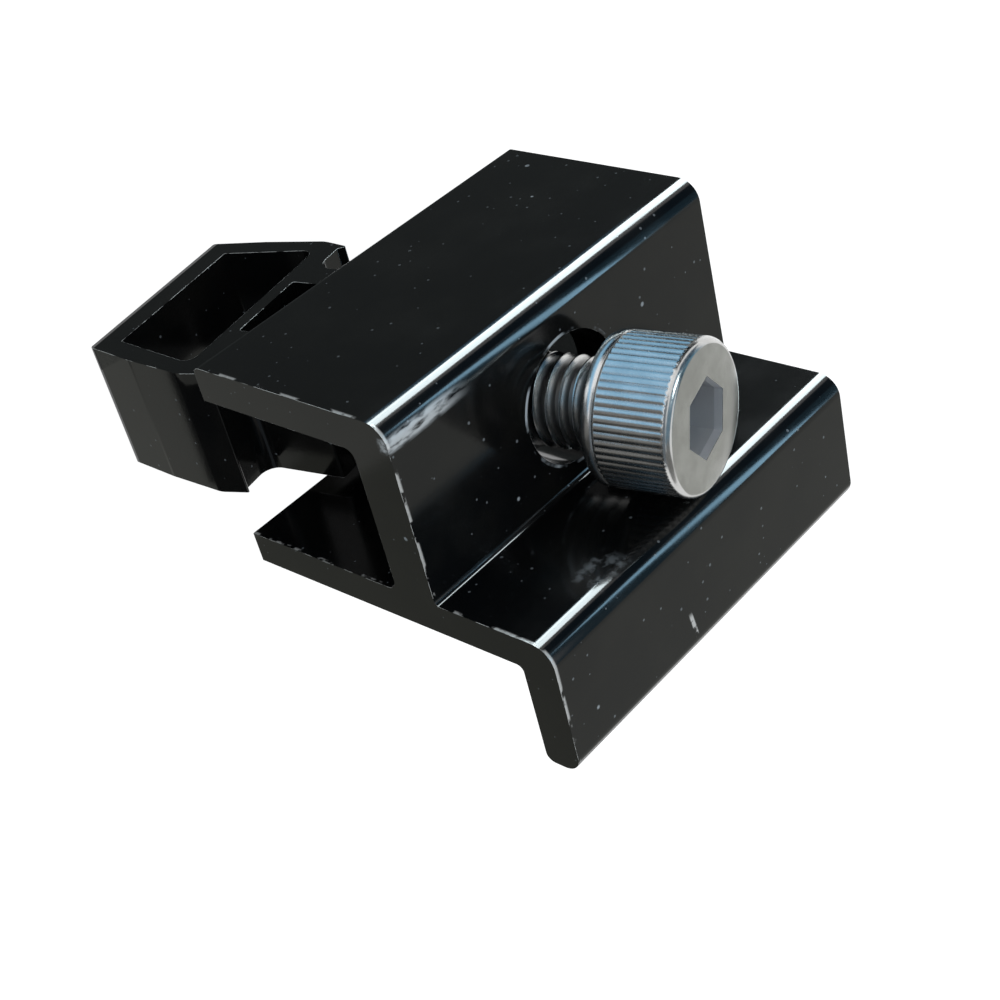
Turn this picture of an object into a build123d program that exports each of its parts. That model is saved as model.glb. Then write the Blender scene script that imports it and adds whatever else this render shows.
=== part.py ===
"""Solar end clamp: an extruded clamp body, the socket cap screw through it, and its rail nut.

The screw's axis is Z, its head up. The rail nut's flat outer face lies on z = 0. Y runs
along the rail: the outer leg is on the +Y side and the lip that holds the module on the
-Y side. The clamp body hangs loose on the screw and leans about Y in its oversize hole, so
its +X end is the raised one. All lengths are in millimetres and all angles in degrees.
"""
import os
from math import cos, radians, sin, tan

from build123d import *

# Screw, M8 x 30 with a cylindrical head
THREAD_D = 8.0
SCREW_LENGTH = 30.0
HEAD_D = 13.0
HEAD_HEIGHT = 8.0
HEAD_BEVEL = 0.55
COLLAR = 1.3
KNURL_TEETH = 60
KNURL_DEPTH = 0.22
KNURL_ANGLE = 90.0
HEX_ACROSS_FLATS = 6.0
HEX_DEPTH = 4.6
HEX_TURN = 10.0
UNDER_HEAD_RADIUS = 0.4
TIP_CHAMFER = 0.9
THREAD_ENGAGEMENT = 5.0

# Rail nut, cut from a hollow profile that runs along Y
NUT_LENGTH = 12.6
NUT_HEIGHT = 22.6
BASE_HALF_WIDTH = 9.35
WIDEST_HALF_WIDTH = 11.45
WIDEST_HEIGHT = 12.0
FLANK_BOW = 0.2
SHOULDER_HEIGHT = 14.2
TOOTH_HEIGHT = 0.7
TOOTH_WIDTH = 0.6
TOOTH_SET_IN = 0.55
NECK_HALF_WIDTH = 6.9
NECK_ROOT_RADIUS = 1.5
NECK_END_RADIUS = 0.3
BASE_CORNER_RADIUS = 0.3
BASE_WALL = 2.5
FLANK_WALL = 1.7
SEPTUM = 1.35
LARGE_CHAMBER_HEIGHT = 9.5
LARGE_CHAMBER_RADIUS = 1.1
SMALL_CHAMBER_WIDTH = 8.4
SMALL_CHAMBER_HEIGHT = 3.65
SMALL_CHAMBER_RADIUS = 0.3
BORE_CLEARANCE = 0.05
BORE_CHAMFER = 0.35

# Clamp body, cut from a profile that runs along its own length
BODY_LENGTH = 40.0
LEG_HEIGHT = 22.1
OUTER_LEG = 3.3
INNER_WALL = 3.0
WEB = 4.3
LIP = 3.6
LIP_REACH = 10.0
MODULE_FRAME_HEIGHT = 30.0
MODULE_FRAME_PLAY = 0.5
OUTER_LEG_GAP = 0.2
INNER_WALL_GAP = 1.1
HOLE_D = 11.5
SHOULDER_RADIUS = 2.0
LIP_BEND_RADIUS = 2.0
LIP_TIP_RADIUS = 1.8
LIP_EDGE_RADIUS = 0.8
LEG_TIP_RADIUS = 0.8
CHANNEL_RADIUS = 1.0
WEB_CORNER_RADIUS = 0.5
UNDER_LIP_RADIUS = 0.6

# How the loose clamp body hangs on the screw
LEAN = 11.0
HEAD_GAP = 4.55
HOLE_EDGE_GAP = 0.15

os.makedirs("parts", exist_ok=True)

# Heights on the screw's axis
screw_tip = NUT_HEIGHT - THREAD_ENGAGEMENT
head_underside = screw_tip + SCREW_LENGTH
head_top = head_underside + HEAD_HEIGHT
web_face = head_underside - HEAD_GAP

# The nut's chambers
large_chamber_top = BASE_WALL + LARGE_CHAMBER_HEIGHT
small_chamber_floor = large_chamber_top + SEPTUM
small_chamber_middle = small_chamber_floor + SMALL_CHAMBER_HEIGHT / 2

# The clamp body's profile: across is Y, and up is from the web's outer face, its zero
leg_inside = NUT_LENGTH / 2 + OUTER_LEG_GAP
leg_outside = leg_inside + OUTER_LEG
wall_inside = -NUT_LENGTH / 2 - INNER_WALL_GAP
wall_outside = wall_inside - INNER_WALL
lip_end = wall_outside - LIP_REACH
feet = -LEG_HEIGHT
lip_underside = feet + MODULE_FRAME_HEIGHT + MODULE_FRAME_PLAY
lip_face = lip_underside + LIP

# The leaning shank all but touches the hole's lower rim, so it stands off the hole's centre
lean = radians(LEAN)
shank_half_across = THREAD_D / 2 / cos(lean)
hole_off_screw = HOLE_D / 2 - shank_half_across - HOLE_EDGE_GAP - WEB * tan(lean)

# Across the clamp body at the middle of its length, and on its web's outer face at the hole
screw_section = Plane((0, 0, web_face), x_dir=(0, 1, 0), z_dir=(cos(lean), 0, sin(lean)))
body_section = screw_section.offset(hole_off_screw)
web_plane = Plane(body_section.origin, x_dir=body_section.z_dir, z_dir=body_section.y_dir)

# Socket cap screw: one turned shape with a straight knurl and a hexagon socket
with BuildPart() as cap_screw:
    with BuildSketch(Plane.XZ):
        with BuildLine():
            Polyline(
                (0, screw_tip),
                (THREAD_D / 2 - TIP_CHAMFER, screw_tip),
                (THREAD_D / 2, screw_tip + TIP_CHAMFER),
                (THREAD_D / 2, head_underside),
                (HEAD_D / 2, head_underside),
                (HEAD_D / 2, head_top - HEAD_BEVEL),
                (HEAD_D / 2 - HEAD_BEVEL, head_top),
                (0, head_top),
                close=True,
            )
        make_face()
    revolve(axis=Axis.Z)
    under_head = cap_screw.edges().filter_by(GeomType.CIRCLE).filter_by_position(
        Axis.Z, head_underside, head_underside
    )
    fillet(under_head.sort_by(SortBy.RADIUS)[0], radius=UNDER_HEAD_RADIUS)
    with BuildSketch(Plane.XY.offset(head_underside + COLLAR)):
        with PolarLocations(HEAD_D / 2, KNURL_TEETH):
            groove_half_width = 2 * KNURL_DEPTH * tan(radians(KNURL_ANGLE / 2))
            Polygon(
                (-KNURL_DEPTH, 0),
                (KNURL_DEPTH, -groove_half_width),
                (KNURL_DEPTH, groove_half_width),
                align=None,
            )
    extrude(amount=HEAD_HEIGHT - COLLAR, mode=Mode.SUBTRACT)
    with BuildSketch(Plane.XY.offset(head_top)):
        RegularPolygon(HEX_ACROSS_FLATS / 2, side_count=6, major_radius=False, rotation=HEX_TURN)
    extrude(amount=-HEX_DEPTH, mode=Mode.SUBTRACT)

# Rail nut: hollow profile, tapped through the end of its neck
with BuildPart() as rail_nut:
    with BuildSketch(Plane.XZ):
        with BuildLine():
            base = FilletPolyline(
                (0, 0),
                (BASE_HALF_WIDTH, 0),
                (BASE_HALF_WIDTH + FLANK_BOW, 1.0),
                radius=BASE_CORNER_RADIUS,
            )
            flank_middle = (
                (BASE_HALF_WIDTH + WIDEST_HALF_WIDTH) / 2 + FLANK_BOW,
                WIDEST_HEIGHT / 2,
            )
            flank = ThreePointArc(base @ 1, flank_middle, (WIDEST_HALF_WIDTH, WIDEST_HEIGHT))
            tooth = WIDEST_HALF_WIDTH - TOOTH_SET_IN
            FilletPolyline(
                flank @ 1,
                (tooth, SHOULDER_HEIGHT + TOOTH_HEIGHT),
                (tooth - TOOTH_WIDTH, SHOULDER_HEIGHT),
                (NECK_HALF_WIDTH, SHOULDER_HEIGHT),
                (NECK_HALF_WIDTH, NUT_HEIGHT),
                (0, NUT_HEIGHT),
                radius=(0, 0, NECK_ROOT_RADIUS, NECK_END_RADIUS),
            )
            mirror(about=Plane.YZ)
        make_face()
        with BuildLine():
            chamber_floor = BASE_HALF_WIDTH + FLANK_BOW - FLANK_WALL
            FilletPolyline(
                (0, BASE_WALL),
                (chamber_floor, BASE_WALL),
                (WIDEST_HALF_WIDTH - FLANK_WALL, large_chamber_top),
                (0, large_chamber_top),
                radius=(0, LARGE_CHAMBER_RADIUS),
            )
            mirror(about=Plane.YZ)
        make_face(mode=Mode.SUBTRACT)
        with Locations((0, small_chamber_middle)):
            RectangleRounded(
                SMALL_CHAMBER_WIDTH,
                SMALL_CHAMBER_HEIGHT,
                SMALL_CHAMBER_RADIUS,
                mode=Mode.SUBTRACT,
            )
    extrude(amount=NUT_LENGTH / 2, both=True)
    with Locations((0, 0, NUT_HEIGHT)):
        Hole(THREAD_D / 2 + BORE_CLEARANCE, depth=NUT_HEIGHT - small_chamber_middle)
    bore_mouth = rail_nut.edges().filter_by(GeomType.CIRCLE).sort_by(Axis.Z)[-1]
    chamfer(bore_mouth, length=BORE_CHAMFER)

# Clamp body: two legs over the rail, a web under the screw's head and a lip over the module
with BuildPart() as clamp_body:
    with BuildSketch(body_section):
        with BuildLine():
            FilletPolyline(
                (leg_outside, feet),
                (leg_outside, 0),
                (wall_inside, 0),
                (wall_inside, lip_face),
                (lip_end, lip_face),
                (lip_end, lip_underside),
                (wall_outside, lip_underside),
                (wall_outside, feet),
                (wall_inside, feet),
                (wall_inside, -WEB),
                (leg_inside, -WEB),
                (leg_inside, feet),
                close=True,
                radius=(
                    LEG_TIP_RADIUS,
                    SHOULDER_RADIUS,
                    WEB_CORNER_RADIUS,
                    LIP_BEND_RADIUS,
                    LIP_TIP_RADIUS,
                    LIP_EDGE_RADIUS,
                    UNDER_LIP_RADIUS,
                    0,
                    0,
                    CHANNEL_RADIUS,
                    CHANNEL_RADIUS,
                    0,
                ),
            )
        make_face()
    extrude(amount=BODY_LENGTH / 2, both=True)
    with Locations(web_plane):
        Hole(HOLE_D / 2)

cap_screw.part.label = "cap_screw"
export_step(cap_screw.part, "parts/cap_screw.step")
rail_nut.part.label = "rail_nut"
export_step(rail_nut.part, "parts/rail_nut.step")
clamp_body.part.label = "clamp_body"
export_step(clamp_body.part, "parts/clamp_body.step")
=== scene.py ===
"""Looks of the solar end clamp: black anodised clamp body and rail nut, and a steel cap screw."""
from math import cos, pi, radians, sin, tan, tau

import bmesh
import bpy
from mathutils import Matrix, Vector


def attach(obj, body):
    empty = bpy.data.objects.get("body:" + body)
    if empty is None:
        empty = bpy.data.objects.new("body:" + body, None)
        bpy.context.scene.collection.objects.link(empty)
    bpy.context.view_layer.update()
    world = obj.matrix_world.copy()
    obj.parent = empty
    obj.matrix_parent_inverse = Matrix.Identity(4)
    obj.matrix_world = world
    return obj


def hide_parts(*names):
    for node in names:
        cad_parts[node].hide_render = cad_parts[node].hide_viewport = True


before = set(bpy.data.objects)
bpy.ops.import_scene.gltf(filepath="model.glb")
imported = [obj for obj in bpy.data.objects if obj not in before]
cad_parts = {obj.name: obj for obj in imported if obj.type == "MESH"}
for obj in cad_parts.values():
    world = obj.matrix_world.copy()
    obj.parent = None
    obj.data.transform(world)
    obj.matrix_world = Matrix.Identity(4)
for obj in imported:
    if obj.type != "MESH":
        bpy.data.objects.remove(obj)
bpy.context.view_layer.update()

# Shapes are worked in millimetres and brought to metres at the end
MM = 0.001

# Edges that turn by more than the first are broken, and those by more than the second shade sharp
BROKEN_FROM = radians(33)
SHARP_FROM = radians(32)

# Clamp body: its profile stands across the rail, up from the web's outer face
BODY_LENGTH = 40.0
LEG_HEIGHT = 22.1
LEG_OUTSIDE = 9.8
OUTER_LEG = 3.3
WALL_OUTSIDE = -10.4
INNER_WALL = 3.0
WEB = 4.3
LIP_UNDERSIDE = 8.4
LIP = 3.6
LIP_REACH = 10.0
WALL_INSIDE = WALL_OUTSIDE + INNER_WALL
LIP_FACE = LIP_UNDERSIDE + LIP
SHOULDER_RADIUS = 2.0
LIP_BEND_RADIUS = 2.0
LIP_TIP_RADIUS = 1.8
LIP_EDGE_RADIUS = 0.8
LEG_TIP_RADIUS = 0.8
CHANNEL_RADIUS = 1.0
WEB_CORNER_RADIUS = 0.5
UNDER_LIP_RADIUS = 0.6
HOLE_D = 11.5
HOLE_OFF_SCREW = 0.689
LEAN = radians(11.0)
WEB_FACE = 43.05
CUT_EDGE = 0.22
NICK_RADIUS = 0.75
NICK_AT = (-4.5, -20.23, 11.7)

# Marks on the clamp body, along its own length, across and up
NEAR_END = HOLE_OFF_SCREW - BODY_LENGTH / 2
# The radius of the ring of painted highlight round the screw hole
RIM_SHEEN_RADIUS = 5.94
SMUDGE_LENGTH = -9.8
SMUDGE_UP = 9.4
SCRATCH_LENGTH = -3.3
SCRATCH_ACROSS = -17.2
SCRATCH_SLANT = 0.15

# Rail nut: its profile stands in X and Z
NUT_LENGTH = 12.6
NUT_HEIGHT = 22.6
NUT_BASE = 9.35
NUT_BASE_RADIUS = 0.3
FLANK_MIDDLE_OUT = 1.15
FLANK_MIDDLE_HEIGHT = 5.6
FLANK_MIDDLE_RADIUS = 6.0
NUT_WIDEST = 11.45
NUT_WIDEST_HEIGHT = 12.0
NUT_WIDEST_RADIUS = 2.6
NUT_SHOULDER = 14.2
TOOTH_HEIGHT = 0.7
TOOTH_WIDTH = 0.6
TOOTH_SET_IN = 0.55
TOOTH_TIP_RADIUS = 0.15
TOOTH_FOOT_RADIUS = 0.1
NUT_NECK = 6.9
NECK_ROOT_RADIUS = 1.5
NECK_END_RADIUS = 0.3
NUT_EDGE = 0.17
LARGE_FLOOR = 2.5
LARGE_FLOOR_HALF_WIDTH = 7.85
LARGE_FLOOR_RADIUS = 0.15
LARGE_TOP = 12.0
LARGE_TOP_HALF_WIDTH = 9.75
LARGE_TOP_RADIUS = 1.1
SMALL_FLOOR = 13.35
SMALL_TOP = 17.0
SMALL_HALF_WIDTH = 4.2
SMALL_RADIUS = 0.3
BORE_CLEARANCE = 0.05

# Cap screw, M8 with a knurled head
THREAD_D = 8.0
THREAD_PITCH = 1.25
THREAD_DEPTH = 0.74
THREAD_CREST = THREAD_D / 2 - 0.03
THREAD_ROOT = THREAD_CREST - THREAD_DEPTH
SCREW_TIP = 17.6
HEAD_UNDERSIDE = 47.6
HEAD_TOP = 55.6
HEAD_D = 13.0
KNURL_TEETH = 60
KNURL_DEPTH = 0.09
TOOTH_DEPTHS = (1.0, 0.5, 0.0, 0.0, 0.0, 0.5)
KNURL_FOOT = 48.95
KNURL_TOP = 54.75
HEX_ACROSS_FLATS = 6.0
HEX_DEPTH = 4.6
HEX_TURN = radians(10.0)
SOCKET_FLOOR = HEAD_TOP - HEX_DEPTH
DRILL_RADIUS = 2.7
DRILL_TIP_RADIUS = 0.02
DRILL_DEPTH = 1.6

# Colours, as linear red, green and blue and an opacity
DEEP_BLACK = (0.0024, 0.0028, 0.0032, 1)
THIN_BLACK = (0.0050, 0.0052, 0.0050, 1)
# Pale dust, also used for the clamp body's ring of painted highlight
PALE_DUST_AND_SHEEN = (0.52, 0.6, 0.66, 1)
BARE_ALUMINIUM = (0.74, 0.76, 0.76, 1)
DULL_STEEL = (0.60, 0.60, 0.59, 1)
CLEAN_STEEL = (0.70, 0.70, 0.69, 1)
# A painted highlight: lighter steel for the socket's inside
PAINTED_SOCKET_SHEEN = (0.85, 0.85, 0.87, 1)
# Painted shade for the knurl's grooves and the thread's roots
PAINTED_GROOVE_SHADE = (0.1, 0.1, 0.1, 1)

# The photograph's camera: its place in millimetres, and what is forward and to the right of it
CAMERA_AT = (-101.993, 77.541, 114.483)
CAMERA_FORWARD = (0.64517, -0.56605, -0.51317)
CAMERA_RIGHT = (0.48733, -0.21242, 0.84699)
SENSOR_WIDTH = 36
FOCAL_LENGTH = 63.859

# From the clamp body's own length, across and up to the part's frame
BODY_PLACE = Matrix.Translation((0, 0, WEB_FACE)) @ Matrix.Rotation(-LEAN, 4, "Y")


def outline(bm, corners, arc_steps):
    """A flat face through corners of (across, up, radius), each rounded to its radius."""
    verts = [bm.verts.new((across, up, 0)) for across, up, _ in corners]
    bm.faces.new(verts)
    for i, vert in enumerate(verts):
        radius = corners[i][2]
        if radius:
            before = Vector(corners[i - 1][:2]) - Vector(corners[i][:2])
            after = Vector(corners[(i + 1) % len(corners)][:2]) - Vector(corners[i][:2])
            back_off = radius / tan(before.angle(after) / 2)
            bmesh.ops.bevel(
                bm, geom=[vert], offset=back_off, offset_type="OFFSET", affect="VERTICES",
                segments=arc_steps, profile=0.5, material=-1,
            )


def extruded(corners, length, arc_steps=10):
    """A bar of that outline, its length centred on the outline's plane."""
    bm = bmesh.new()
    outline(bm, corners, arc_steps)
    bmesh.ops.translate(bm, verts=bm.verts, vec=(0, 0, -length / 2))
    grown = bmesh.ops.extrude_face_region(bm, geom=bm.faces[:])
    top = [v for v in grown["geom"] if isinstance(v, bmesh.types.BMVert)]
    bmesh.ops.translate(bm, verts=top, vec=(0, 0, length))
    bmesh.ops.recalc_face_normals(bm, faces=bm.faces)
    return bm


def rod(radius, low, high, steps=96, top_radius=None):
    """A round bar or cone on the Z axis, from low to high."""
    bm = bmesh.new()
    bmesh.ops.create_cone(
        bm, cap_ends=True, segments=steps, radius1=radius,
        radius2=radius if top_radius is None else top_radius, depth=high - low,
        matrix=Matrix.Translation((0, 0, (low + high) / 2)),
    )
    return bm


def turned(profile, steps):
    """A solid turned about Z from points of (radius, height)."""
    bm = bmesh.new()
    verts = [bm.verts.new((radius, 0, height)) for radius, height in profile]
    edges = [bm.edges.new(pair) for pair in zip(verts, verts[1:])]
    bmesh.ops.spin(
        bm, geom=verts + edges, cent=(0, 0, 0), axis=(0, 0, 1), angle=tau, steps=steps,
        use_merge=True,
    )
    bmesh.ops.remove_doubles(bm, verts=bm.verts, dist=1e-4)
    bmesh.ops.recalc_face_normals(bm, faces=bm.faces)
    return bm


def combined(bm, other, operation):
    """bm with other cut away (DIFFERENCE) or joined on (UNION). Both are used up."""
    pair = []
    for shape in (bm, other):
        mesh = bpy.data.meshes.new("shape")
        shape.to_mesh(mesh)
        shape.free()
        made = bpy.data.objects.new("shape", mesh)
        bpy.context.collection.objects.link(made)
        pair.append(made)
    whole, tool = pair
    join = whole.modifiers.new("join", "BOOLEAN")
    join.operation = operation
    join.solver = "EXACT"
    join.object = tool
    bpy.context.view_layer.update()
    evaluated = whole.evaluated_get(bpy.context.evaluated_depsgraph_get())
    done = bpy.data.meshes.new_from_object(evaluated)
    result = bmesh.new()
    result.from_mesh(done)
    for made in pair:
        bpy.data.objects.remove(made)
    bmesh.ops.remove_doubles(result, verts=result.verts, dist=1e-5)
    return result


def break_edges(bm, width, left_sharp=None, reach=0.0):
    """Rounds the sharp edges a little and marks what that makes as worn_edge.

    Edges within reach of the point left_sharp stay as they are.
    """
    worn = bm.faces.layers.float.new("worn_edge")
    sharp = [e for e in bm.edges if e.is_manifold and e.calc_face_angle() > BROKEN_FROM]
    if left_sharp:
        sharp = [e for e in sharp if (e.verts[0].co - Vector(left_sharp)).length > reach]
    rounded = bmesh.ops.bevel(
        bm, geom=sharp, offset=width, offset_type="OFFSET", affect="EDGES", segments=2,
        profile=0.5, material=-1, clamp_overlap=True,
    )
    for face in rounded["faces"]:
        face[worn] = 1.0


def piece(bm, node, slot, material):
    """Makes bm, in millimetres in the part's frame, the shown piece for that CAD node."""
    name = node + "_dressed"
    material.name = slot
    bm.transform(Matrix.Scale(MM, 4))
    mesh = bpy.data.meshes.new(name)
    bm.to_mesh(mesh)
    bm.free()
    mesh.polygons.foreach_set("use_smooth", [True] * len(mesh.polygons))
    mesh.set_sharp_from_angle(angle=SHARP_FROM)
    mesh.materials.append(material)
    made = bpy.data.objects.new(name, mesh)
    bpy.context.collection.objects.link(made)
    flats = made.modifiers.new("flats", "WEIGHTED_NORMAL")
    flats.keep_sharp = True
    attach(made, node)
    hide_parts(node)
    return made


def clamp_body_shape():
    """The extruded body, its screw hole and its broken edges."""
    lip_end = WALL_OUTSIDE - LIP_REACH
    leg_inside = LEG_OUTSIDE - OUTER_LEG
    bm = extruded(
        (
            (LEG_OUTSIDE, -LEG_HEIGHT, LEG_TIP_RADIUS),
            (LEG_OUTSIDE, 0, SHOULDER_RADIUS),
            (WALL_INSIDE, 0, WEB_CORNER_RADIUS),
            (WALL_INSIDE, LIP_FACE, LIP_BEND_RADIUS),
            (lip_end, LIP_FACE, LIP_TIP_RADIUS),
            (lip_end, LIP_UNDERSIDE, LIP_EDGE_RADIUS),
            (WALL_OUTSIDE, LIP_UNDERSIDE, UNDER_LIP_RADIUS),
            (WALL_OUTSIDE, -LEG_HEIGHT, 0),
            (WALL_INSIDE, -LEG_HEIGHT, 0),
            (WALL_INSIDE, -WEB, CHANNEL_RADIUS),
            (leg_inside, -WEB, CHANNEL_RADIUS),
            (leg_inside, -LEG_HEIGHT, 0),
        ),
        BODY_LENGTH,
    )
    # The outline's across, up and length turn to the body's Y, Z and X
    bm.transform(Matrix(((0, 0, 1, HOLE_OFF_SCREW), (1, 0, 0, 0), (0, 1, 0, 0), (0, 0, 0, 1))))
    hole = rod(HOLE_D / 2, -2 * WEB, WEB)
    bmesh.ops.translate(hole, verts=hole.verts, vec=(HOLE_OFF_SCREW, 0, 0))
    bm = combined(bm, hole, "DIFFERENCE")
    # A nick knocked out of the lip's rounded edge
    nick = bmesh.new()
    bmesh.ops.create_icosphere(nick, subdivisions=1, radius=NICK_RADIUS)
    bmesh.ops.translate(nick, verts=nick.verts, vec=NICK_AT)
    bm = combined(bm, nick, "DIFFERENCE")
    break_edges(bm, CUT_EDGE, NICK_AT, 2 * NICK_RADIUS)
    bm.transform(BODY_PLACE)
    return bm


def rail_nut_shape():
    """The hollow nut, its two chambers and its bore."""
    tooth = NUT_WIDEST - TOOTH_SET_IN
    half = (
        (NUT_BASE, 0, NUT_BASE_RADIUS),
        (NUT_BASE + FLANK_MIDDLE_OUT, FLANK_MIDDLE_HEIGHT, FLANK_MIDDLE_RADIUS),
        (NUT_WIDEST, NUT_WIDEST_HEIGHT, NUT_WIDEST_RADIUS),
        (tooth, NUT_SHOULDER + TOOTH_HEIGHT, TOOTH_TIP_RADIUS),
        (tooth - TOOTH_WIDTH, NUT_SHOULDER, TOOTH_FOOT_RADIUS),
        (NUT_NECK, NUT_SHOULDER, NECK_ROOT_RADIUS),
        (NUT_NECK, NUT_HEIGHT, NECK_END_RADIUS),
    )
    bm = extruded(half + tuple((-x, z, r) for x, z, r in reversed(half)), NUT_LENGTH)
    large = (
        (LARGE_FLOOR_HALF_WIDTH, LARGE_FLOOR, LARGE_FLOOR_RADIUS),
        (LARGE_TOP_HALF_WIDTH, LARGE_TOP, LARGE_TOP_RADIUS),
    )
    small = (
        (SMALL_HALF_WIDTH, SMALL_FLOOR, SMALL_RADIUS),
        (SMALL_HALF_WIDTH, SMALL_TOP, SMALL_RADIUS),
    )
    for side in (large, small):
        chamber = side + tuple((-x, z, r) for x, z, r in reversed(side))
        bm = combined(bm, extruded(chamber, 2 * NUT_LENGTH), "DIFFERENCE")
    # The outline's X, Z and length turn to the part's X, Z and -Y
    bm.transform(Matrix.Rotation(pi / 2, 4, "X"))
    bore = rod(THREAD_D / 2 + BORE_CLEARANCE, (SMALL_FLOOR + SMALL_TOP) / 2, NUT_HEIGHT + 1)
    bm = combined(bm, bore, "DIFFERENCE")
    break_edges(bm, NUT_EDGE)
    return bm


def thread_shape(low, high, steps=44):
    """A bar with a helical thread, trimmed flat at low and high."""
    eighth = THREAD_PITCH / 8
    rise = 2.5 * eighth
    bm = bmesh.new()
    profile = (
        (THREAD_ROOT, 0),
        (THREAD_ROOT, eighth),
        (THREAD_CREST - 0.06, eighth + rise - 0.03),
        (THREAD_CREST, eighth + rise + 0.02),
        (THREAD_CREST, 2 * eighth + rise - 0.02),
        (THREAD_CREST - 0.06, 2 * eighth + rise + 0.03),
        (THREAD_ROOT, 2 * eighth + 2 * rise),
        (THREAD_ROOT, THREAD_PITCH),
    )
    verts = [bm.verts.new((radius, 0, height)) for radius, height in profile]
    edges = [bm.edges.new(pair) for pair in zip(verts, verts[1:])]
    turns = round((high - low) / THREAD_PITCH) + 3
    bmesh.ops.spin(
        bm, geom=verts + edges, cent=(0, 0, 0), axis=(0, 0, 1), angle=tau * turns,
        steps=steps * turns, dvec=(0, 0, THREAD_PITCH / steps),
    )
    bmesh.ops.remove_doubles(bm, verts=bm.verts, dist=1e-3)
    bmesh.ops.translate(bm, verts=bm.verts, vec=(0, 0, low - 1.5 * THREAD_PITCH))
    for height, up in ((low, -1), (high, 1)):
        cut = bmesh.ops.bisect_plane(
            bm, geom=bm.verts[:] + bm.edges[:] + bm.faces[:], plane_co=(0, 0, height),
            plane_no=(0, 0, up), clear_outer=True,
        )
        rim = [e for e in cut["geom_cut"] if isinstance(e, bmesh.types.BMEdge)]
        bmesh.ops.contextual_create(bm, geom=rim)
    bmesh.ops.recalc_face_normals(bm, faces=bm.faces)
    return bm


def knurl(bm):
    """Presses the straight knurl's grooves into the head's side."""
    turn = tau / (KNURL_TEETH * len(TOOTH_DEPTHS))
    for vert in bm.verts:
        if KNURL_FOOT - 0.01 < vert.co.z < KNURL_TOP + 0.01:
            flat = Vector((vert.co.x, vert.co.y, 0))
            if flat.length > HEAD_D / 2 - 0.05:
                step = round(Vector((1, 0)).angle_signed(flat.xy) / turn) % len(TOOTH_DEPTHS)
                vert.co -= flat.normalized() * KNURL_DEPTH * TOOTH_DEPTHS[step]


def cap_screw_shape():
    """The screw: turned and knurled head, hexagon socket, and thread."""
    radius = HEAD_D / 2
    profile = (
        # The shank and the fillet under the head
        (0, HEAD_UNDERSIDE - 0.7),
        (3.6, HEAD_UNDERSIDE - 0.7),
        (3.66, HEAD_UNDERSIDE - 0.3),
        (3.9, HEAD_UNDERSIDE - 0.06),
        (4.2, HEAD_UNDERSIDE),
        # The head's rounded lower edge, and the groove below the knurl
        (radius - 0.4, HEAD_UNDERSIDE),
        (radius - 0.15, HEAD_UNDERSIDE + 0.1),
        (radius - 0.03, HEAD_UNDERSIDE + 0.35),
        (radius - 0.03, KNURL_FOOT - 0.32),
        (radius - 0.08, KNURL_FOOT - 0.22),
        (radius - 0.24, KNURL_FOOT - 0.14),
        (radius - 0.24, KNURL_FOOT - 0.06),
        # The knurled side, and the rounded upper edge
        (radius, KNURL_FOOT),
        (radius, KNURL_TOP),
        (radius, KNURL_TOP + 0.18),
        (radius - 0.06, KNURL_TOP + 0.42),
        (radius - 0.2, KNURL_TOP + 0.64),
        (radius - 0.38, HEAD_TOP - 0.06),
        (radius - 0.58, HEAD_TOP),
        (0, HEAD_TOP),
    )
    bm = turned(profile, KNURL_TEETH * len(TOOTH_DEPTHS))
    knurl(bm)
    corner = HEX_ACROSS_FLATS / 2 / cos(pi / 6)
    socket = rod(corner, SOCKET_FLOOR, HEAD_TOP + 1, steps=6)
    socket.verts.ensure_lookup_table()
    first_corner = Vector((1, 0)).angle_signed(socket.verts[:][0].co.xy)
    socket.transform(Matrix.Rotation(HEX_TURN + first_corner, 4, "Z"))
    bm = combined(bm, socket, "DIFFERENCE")
    drill = rod(
        DRILL_TIP_RADIUS, SOCKET_FLOOR - DRILL_DEPTH, SOCKET_FLOOR + 0.05, steps=48,
        top_radius=DRILL_RADIUS,
    )
    bm = combined(bm, drill, "DIFFERENCE")
    return combined(bm, thread_shape(SCREW_TIP, HEAD_UNDERSIDE - 0.4), "UNION")


class Wire:
    """A shader socket. Arithmetic on it adds Math nodes."""

    def __init__(self, finish, socket):
        self.finish = finish
        self.socket = socket

    def maths(self, operation, *others, first=None):
        """One Math node of this and the others, with first put before them."""
        row = (self, *others) if first is None else (first, self, *others)
        return self.finish.node("ShaderNodeMath", {"operation": operation}, dict(enumerate(row)))

    def __add__(self, other):
        return self.maths("ADD", other)

    __radd__ = __add__

    def __sub__(self, other):
        return self.maths("SUBTRACT", other)

    def __rsub__(self, other):
        return self.maths("SUBTRACT", first=other)

    def __mul__(self, other):
        return self.maths("MULTIPLY", other)

    __rmul__ = __mul__

    def __truediv__(self, other):
        return self.maths("DIVIDE", other)

    def __abs__(self):
        return self.maths("ABSOLUTE")

    def rising(self, low, high):
        """0 below low, 1 above high and smooth between. A falling step has low above high."""
        sockets = {"Value": self, "From Min": low, "From Max": high}
        return self.finish.node("ShaderNodeMapRange", {"interpolation_type": "SMOOTHSTEP"}, sockets)

    def close_to(self, centre, width):
        """1 at centre, falling to 0 at width either side."""
        return abs(self - centre).rising(width, width * 0.5)


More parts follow.
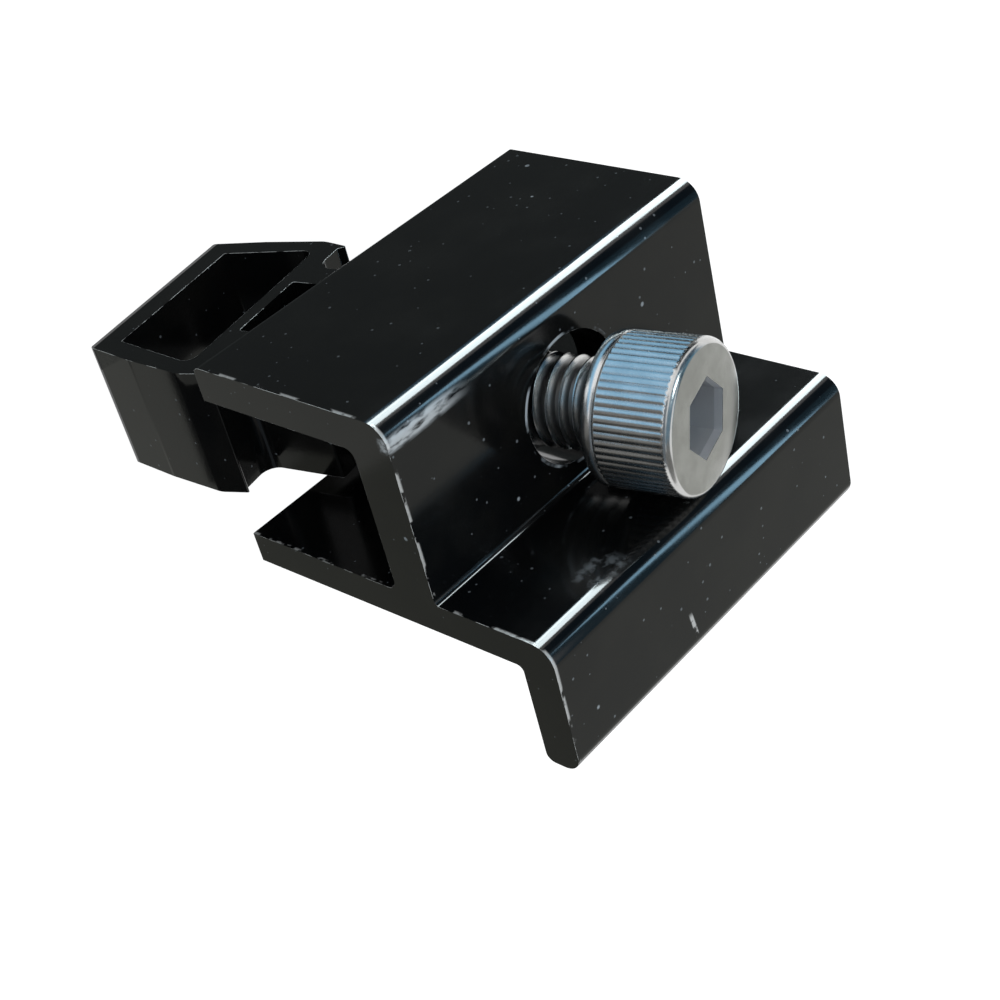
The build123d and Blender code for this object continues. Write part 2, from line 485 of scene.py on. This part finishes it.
class Finish:
    """The nodes of a material or a world, and the patterns they make."""

    def __init__(self, owner):
        owner.use_nodes = True
        self.owner = owner
        self.tree = owner.node_tree
        self.tree.nodes.clear()

    def node(self, kind, settings=None, sockets=None, output=0):
        """Adds a node, with its settings first and then the values or links of its sockets."""
        made = self.tree.nodes.new(kind)
        for key, value in (settings or {}).items():
            setattr(made, key, value)
        for key, value in (sockets or {}).items():
            if isinstance(value, Wire):
                self.tree.links.new(value.socket, made.inputs[key])
            else:
                made.inputs[key].default_value = value
        return Wire(self, made.outputs[output]) if made.outputs else None

    def millimetres(self, place=None):
        """The point in millimetres, in the part's frame or in the piece's own."""
        at = self.node("ShaderNodeTexCoord", output="Object")
        back = (place or Matrix.Identity(4)).inverted()
        sockets = {
            "Vector": at,
            "Location": back.to_translation(),
            "Rotation": back.to_euler(),
            "Scale": (1 / MM, 1 / MM, 1 / MM),
        }
        return self.node("ShaderNodeMapping", {"vector_type": "POINT"}, sockets)

    def parts_of(self, vector):
        """The three numbers of a vector."""
        split = self.node("ShaderNodeSeparateXYZ", None, {0: vector})
        return [Wire(self, socket) for socket in split.socket.node.outputs]

    def stretched(self, vector, scale):
        """The vector with each of its numbers times one of scale's."""
        return self.node("ShaderNodeVectorMath", {"operation": "MULTIPLY"}, {0: vector, 1: scale})

    def noise(self, vector, scale, detail=2.0):
        """Soft noise from 0 to 1."""
        sockets = {"Vector": vector, "Scale": scale, "Detail": detail}
        return self.node("ShaderNodeTexNoise", None, sockets)

    def specks(self, vector, spacing, size, share):
        """Round specks: size is the largest radius, share how many of the places have one."""
        settings = {"feature": "F1", "distance": "EUCLIDEAN"}
        near = self.node("ShaderNodeTexVoronoi", settings, {"Vector": vector, "Scale": 1 / spacing})
        draw = self.parts_of(Wire(self, near.socket.node.outputs["Color"]))
        radius = draw[0] * (size / spacing)
        picked = draw[1].rising(1 - share, 1 - share + 0.01)
        return (near - radius).rising(0.25 * size / spacing, -0.25 * size / spacing) * picked

    def mix(self, amount, first, second):
        """A colour from first at 0 to second at 1."""
        return self.node("ShaderNodeMix", {"data_type": "RGBA"}, {0: amount, 6: first, 7: second}, 2)

    def seen(self):
        """1 for rays from the camera, from gloss or through glass, 0 for those that only light."""
        rays = self.node("ShaderNodeLightPath").socket.node.outputs
        kinds = [Wire(self, rays[f"Is {kind} Ray"]) for kind in ("Camera", "Glossy", "Transmission")]
        return kinds[0].maths("MAXIMUM", kinds[1]).maths("MAXIMUM", kinds[2])

    def bump(self, height, distance, strength=1.0, normal=None):
        """A bump normal from a height from 0 to 1 over that many millimetres."""
        sockets = {"Height": height, "Distance": distance * MM, "Strength": strength}
        if normal is not None:
            sockets["Normal"] = normal
        return self.node("ShaderNodeBump", None, sockets)

    def surface(self, sockets):
        """Ends the material in a Principled shader with those sockets."""
        shader = self.node("ShaderNodeBsdfPrincipled", None, sockets)
        self.node("ShaderNodeOutputMaterial", None, {"Surface": shader})
        return self.owner


def body_marks(finish, at):
    """Scuffs of the clamp body, and a ring of painted highlight just outside its screw hole."""
    length, across, up = finish.parts_of(at)
    blotch = finish.noise(at, scale=1.3, detail=4.0)
    smeared = finish.noise(finish.stretched(at, (0.5, 1.6, 1.6)), scale=1.2, detail=5.0)
    # The near end's shoulder, rubbed where it lies on other parts
    rubbed = length.rising(-9.5, -15.0) * across.rising(7.0, 7.6) * across.rising(8.7, 8.3)
    rubbed = rubbed * up.rising(-1.2, -0.4) * smeared.rising(0.32, 0.6)
    # Bare metal along the near end's cut
    cut = length.rising(NEAR_END + 0.361, NEAR_END + 0.161)
    cut = cut * length.rising(NEAR_END + 0.001, NEAR_END + 0.021)
    cut = cut * finish.noise(at, scale=0.45, detail=5.0).rising(0.49, 0.56)
    # A painted highlight: a pale broken ring just outside the hole, standing in for the light on the
    # hole's rim
    off = length - HOLE_OFF_SCREW
    reach = (off * off + across * across).maths("POWER", 0.5)
    rim_sheen = reach.close_to(RIM_SHEEN_RADIUS, 0.17) * up.rising(-0.4, -0.2) * up.rising(0.6, 0.3)
    rim_sheen = rim_sheen * finish.noise(at, scale=0.3, detail=3.0).rising(0.42, 0.56)
    # A greasy smudge on the wall and a scratch on the lip
    smudge = length.close_to(SMUDGE_LENGTH, 2.6) * up.close_to(SMUDGE_UP, 1.9)
    smudge = smudge * across.rising(WALL_INSIDE - 0.6, WALL_INSIDE - 0.1)
    smudge = smudge * blotch.rising(0.42, 0.66)
    slanted = length - SCRATCH_LENGTH + (across - SCRATCH_ACROSS) * SCRATCH_SLANT
    scratch = slanted.close_to(0.0, 0.28) * across.close_to(SCRATCH_ACROSS, 1.5)
    scratch = scratch * up.rising(LIP_FACE - 0.5, LIP_FACE - 0.1) * blotch.rising(0.38, 0.5)
    # The pale marks: the smudge, the rubbed shoulder and the ring of painted highlight
    soft = (smudge * 0.2 + rubbed * 0.6 + rim_sheen * 0.7).maths("MINIMUM", 1.0)
    return soft, (rubbed * 0.3 + scratch * 0.7 + cut * 0.6).maths("MINIMUM", 0.9)


def anodised(place, wear, own_marks=None):
    """Glossy black anodising with die lines, dust and worn edges, in the piece's own place."""
    finish = Finish(bpy.data.materials.new("anodised"))
    at = finish.millimetres(place)
    cloudy = finish.noise(at, scale=0.16, detail=4.0)
    fine = finish.noise(at, scale=2.2, detail=5.0)
    drawn = finish.noise(finish.stretched(at, (0.03, 1.0, 1.0)), scale=3.2, detail=4.0)
    worn_edge = finish.node("ShaderNodeAttribute", {"attribute_name": "worn_edge"}, output=2)
    broken = finish.noise(at, scale=0.7, detail=4.0).rising(0.6 - wear, 0.72 - wear)
    bare = worn_edge * broken
    fine_dust = finish.specks(at, spacing=1.1, size=0.14, share=0.85)
    coarse_dust = finish.specks(at, spacing=3.8, size=0.25, share=0.5)
    dust = fine_dust * 0.24 + coarse_dust * 0.6
    # The piece's own marks; on the clamp body these include a ring of painted highlight
    scuffs_and_sheen, bright = own_marks(finish, at) if own_marks else (0.0, 0.0)
    bare = finish.node("ShaderNodeClamp", None, {"Value": bare + bright})
    black = finish.mix(cloudy.rising(0.35, 0.7), DEEP_BLACK, THIN_BLACK)
    dusty_and_sheen = finish.mix(dust * 0.8 + scuffs_and_sheen, black, PALE_DUST_AND_SHEEN)
    colour = finish.mix(bare, dusty_and_sheen, BARE_ALUMINIUM)
    rough = 0.07 + cloudy.rising(0.4, 0.75) * 0.04 + fine * 0.04 + drawn * 0.04
    rough = rough + dust * 0.4 + scuffs_and_sheen * 0.3 + bare * 0.35
    lines = finish.bump(drawn, distance=0.006, strength=0.35)
    grain = finish.bump(fine + dust * 1.5, distance=0.004, strength=0.3, normal=lines)
    sawn = finish.noise(finish.stretched(at, (0.2, 0.25, 5.0)), scale=1.0, detail=3.0)
    grain = finish.bump(sawn, distance=0.004, strength=0.25, normal=grain)
    return finish.surface({
        "Base Color": colour,
        "Roughness": rough,
        "Metallic": bare * 0.3,
        "Normal": grain,
        "IOR": 1.5,
    })


def steel():
    """Plain stainless steel, turned, with dull grooves darkened by painted shade in the knurl and the
    thread's roots, and a socket painted lighter.
    """
    finish = Finish(bpy.data.materials.new("steel"))
    at = finish.millimetres()
    x, y, z = finish.parts_of(at)
    cloudy = finish.noise(at, scale=0.5, detail=4.0)
    fine = finish.noise(at, scale=4.0, detail=4.0)
    across = (x * x + y * y).maths("POWER", 0.5)
    groove = across.rising(HEAD_D / 2 - 0.01, HEAD_D / 2 - KNURL_DEPTH)
    in_knurl = z.rising(KNURL_FOOT - 0.1, KNURL_FOOT) * z.rising(KNURL_TOP + 0.1, KNURL_TOP)
    root = across.rising(THREAD_D / 2 - 0.15, THREAD_D / 2 - 0.6)
    in_thread = z.rising(HEAD_UNDERSIDE, HEAD_UNDERSIDE - 0.2)
    # Painted shade: darker in the knurl's grooves and the thread's roots
    painted_groove_shade = groove * in_knurl * 0.3 + root * in_thread * 0.75
    # A painted highlight: the socket's inside is painted lighter, standing in for the light its walls
    # reflect
    in_socket = across.rising(3.56, 3.5) * z.rising(HEAD_UNDERSIDE + 0.5, HEAD_UNDERSIDE + 1.0)
    in_socket = in_socket * z.rising(HEAD_TOP - 0.02, HEAD_TOP - 0.06)
    light = finish.mix(cloudy.rising(0.3, 0.7), DULL_STEEL, CLEAN_STEEL)
    socket_sheen = finish.mix(in_socket, light, PAINTED_SOCKET_SHEEN)
    colour = finish.mix(painted_groove_shade, socket_sheen, PAINTED_GROOVE_SHADE)
    rough = 0.13 + cloudy * 0.1 + fine * 0.08 + painted_groove_shade * 0.2 + in_socket * 0.35
    grain = finish.bump(fine, distance=0.004, strength=0.4)
    return finish.surface({"Base Color": colour, "Roughness": rough, "Metallic": 1.0, "Normal": grain})


def studio():
    """World, floor and lamp."""
    scene = bpy.context.scene
    scene.view_settings.view_transform = "Standard"
    scene.world = bpy.data.worlds.new("studio")
    world = Finish(scene.world)
    sky = {"Color": (0.93, 0.97, 1.0, 1), "Strength": 0.55}
    light = world.node("ShaderNodeBackground", None, sky)
    white = world.node("ShaderNodeBackground", None, {"Color": (1, 1, 1, 1)})
    either = world.node("ShaderNodeMixShader", None, {0: world.seen(), 1: light, 2: white})
    world.node("ShaderNodeOutputWorld", None, {"Surface": either})

    floor = plane("floor", (0, 0, 0), (0, 0, 1), 6000, 6000)
    paint = Finish(bpy.data.materials.new("floor"))
    matt = paint.node("ShaderNodeBsdfDiffuse", None, {"Color": (0.35, 0.35, 0.35, 1)})
    whiteness = {"Color": (1, 1, 1, 1), "Strength": paint.seen() * 0.86}
    glow = paint.node("ShaderNodeEmission", None, whiteness)
    both = paint.node("ShaderNodeAddShader", None, {0: matt, 1: glow})
    paint.node("ShaderNodeOutputMaterial", None, {"Surface": both})
    floor.data.materials.append(paint.owner)

    lamp = bpy.data.lights.new("key", "AREA")
    lamp.size = 0.35
    lamp.energy = 1.6
    key = bpy.data.objects.new("key", lamp)
    key.location = (-0.25, 0.12, 0.55)
    key.rotation_euler = (-key.location).to_track_quat("-Z", "Y").to_euler()
    bpy.context.collection.objects.link(key)
    key.visible_glossy = False


def plane(name, centre, facing, width, height):
    """A flat rectangle of the stage, in millimetres, its width level, facing that way."""
    bm = bmesh.new()
    bmesh.ops.create_grid(bm, x_segments=1, y_segments=1, size=0.5)
    bm.transform(Matrix.Diagonal((width, height, 1, 1)))
    bm.transform(Vector(facing).to_track_quat("Z", "Y").to_matrix().to_4x4())
    bm.transform(Matrix.Translation(centre))
    bm.transform(Matrix.Scale(MM, 4))
    mesh = bpy.data.meshes.new(name)
    bm.to_mesh(mesh)
    bm.free()
    made = bpy.data.objects.new(name, mesh)
    bpy.context.collection.objects.link(made)
    return made


def card(name, centre, facing, width, height, colour, strength):
    """A card that only reflections see."""
    made = plane(name, centre, facing, width, height)
    paint = Finish(bpy.data.materials.new(name))
    glow = paint.node("ShaderNodeEmission", None, {"Color": (*colour, 1), "Strength": strength})
    paint.node("ShaderNodeOutputMaterial", None, {"Surface": glow})
    made.data.materials.append(paint.owner)
    made.visible_camera = False
    made.visible_diffuse = False
    made.visible_shadow = False
    return made


def sky_card(name, azimuth, elevation, distance, *rest):
    """A card at that distance from the clamp's middle, facing it from that direction."""
    a, e = radians(azimuth), radians(elevation)
    way = Vector((cos(a) * cos(e), sin(a) * cos(e), sin(e)))
    return card(name, Vector((0, 0, 40)) + way * distance, -way, *rest)


def shine_only(name, windows, pieces):
    """Makes those windows shine on those pieces alone."""
    chosen = bpy.data.collections.new(name)
    for made in pieces:
        chosen.objects.link(made)
    for window in windows:
        window.light_linking.receiver_collection = chosen


def cards(black_pieces, screw):
    """What the gloss mirrors: dark and coloured cards on the floor and round it, and windows."""
    # Name, centre, width in X, width in Y, colour and strength
    on_the_floor = (
        ("dark_floor_card", (90, 34, 0.4), 220, 60, (0.9, 1.0, 1.0), 0.1),
        ("dark_far_card", (175, 82, 0.4), 160, 36, (0.9, 1.0, 1.0), 0.1),
        ("blue_floor_card", (-20, 105, 0.3), 300, 82, (0.33, 0.64, 0.92), 1.0),
        ("grey_floor_card", (-300, 22, 0.35), 500, 84, (1.0, 0.98, 0.94), 0.2),
        ("low_floor_card", (-290, -120, 0.3), 430, 200, (1.0, 0.98, 0.94), 0.06),
        ("far_grey_floor_card", (0, -180, 0.5), 500, 200, (1.0, 0.96, 0.9), 0.08),
        ("near_floor_card", (-42, -6, 0.4), 65, 28, (1.0, 1.02, 0.94), 0.34),
        ("near_low_card", (-30, -50, 0.4), 90, 60, (1.0, 1.03, 0.9), 0.2),
    )
    for name, centre, *rest in on_the_floor:
        card(name, centre, (0, 0, 1), *rest)
    card("neck_card", (-15, -4, 9), (1, 0, 0), 14, 13, (1.0, 1.0, 1.0), 0.02)
    card("overhead_card", (260, 0, 400), (-0.5, 0, -0.86), 420, 300, (0.3, 0.7, 1.0), 0.3)
    # Name, azimuth, elevation, distance, width, height, colour and strength
    in_the_sky = (
        ("side_card", -48, 38, 260, 240, 220, (0.98, 1.0, 0.94), 0.42),
        ("navy_card", 48, 38, 320, 300, 150, (0.25, 0.6, 1.0), 0.1),
        ("back_card", 135, 62, 300, 620, 300, (0.5, 0.78, 1.0), 0.32),
        ("low_back_card", -135, 40, 300, 300, 260, (1.0, 1.0, 0.97), 0.2),
        ("behind_card", 170, 10, 420, 900, 250, (0.75, 0.88, 1.0), 0.22),
    )
    for row in in_the_sky:
        sky_card(*row)
    pale = (0.85, 0.97, 1.0)
    windows = (
        card("white_floor_strip", (190, 217, 0.6), (0, 0, 1), 300, 198, pale, 22.0),
        sky_card("horizon_window", 52, 3, 400, 460, 130, pale, 20.0),
        sky_card("top_window", 15, 64, 260, 170, 24, (0.42, 0.75, 1.0), 8.0),
    )
    shine_only("black_pieces", windows, black_pieces)
    window = sky_card("screw_window", 92, 54, 230, 60, 36, (0.8, 0.95, 1.0), 16.0)
    shine_only("bright_pieces", (window,), (screw,))


def camera():
    """The photograph's viewpoint, with no shift."""
    lens = bpy.data.cameras.new("camera")
    lens.sensor_width = SENSOR_WIDTH
    lens.lens = FOCAL_LENGTH
    at = Vector(CAMERA_AT) * MM
    back = -Vector(CAMERA_FORWARD).normalized()
    right = Vector(CAMERA_RIGHT).normalized()
    turn = Matrix((right, back.cross(right), back)).transposed()
    made = bpy.data.objects.new("camera", lens)
    made.matrix_world = Matrix.Translation(at) @ turn.to_4x4()
    bpy.context.collection.objects.link(made)
    bpy.context.scene.camera = made


body_finish = anodised(BODY_PLACE, 0.14, body_marks)
body = piece(clamp_body_shape(), "clamp_body", "black_anodised_body", body_finish)
nut_finish = anodised(Matrix.Identity(4), 0.2)
nut = piece(rail_nut_shape(), "rail_nut", "black_anodised_nut", nut_finish)
screw = piece(cap_screw_shape(), "cap_screw", "stainless_screw", steel())
studio()
cards((body, nut), screw)
camera()
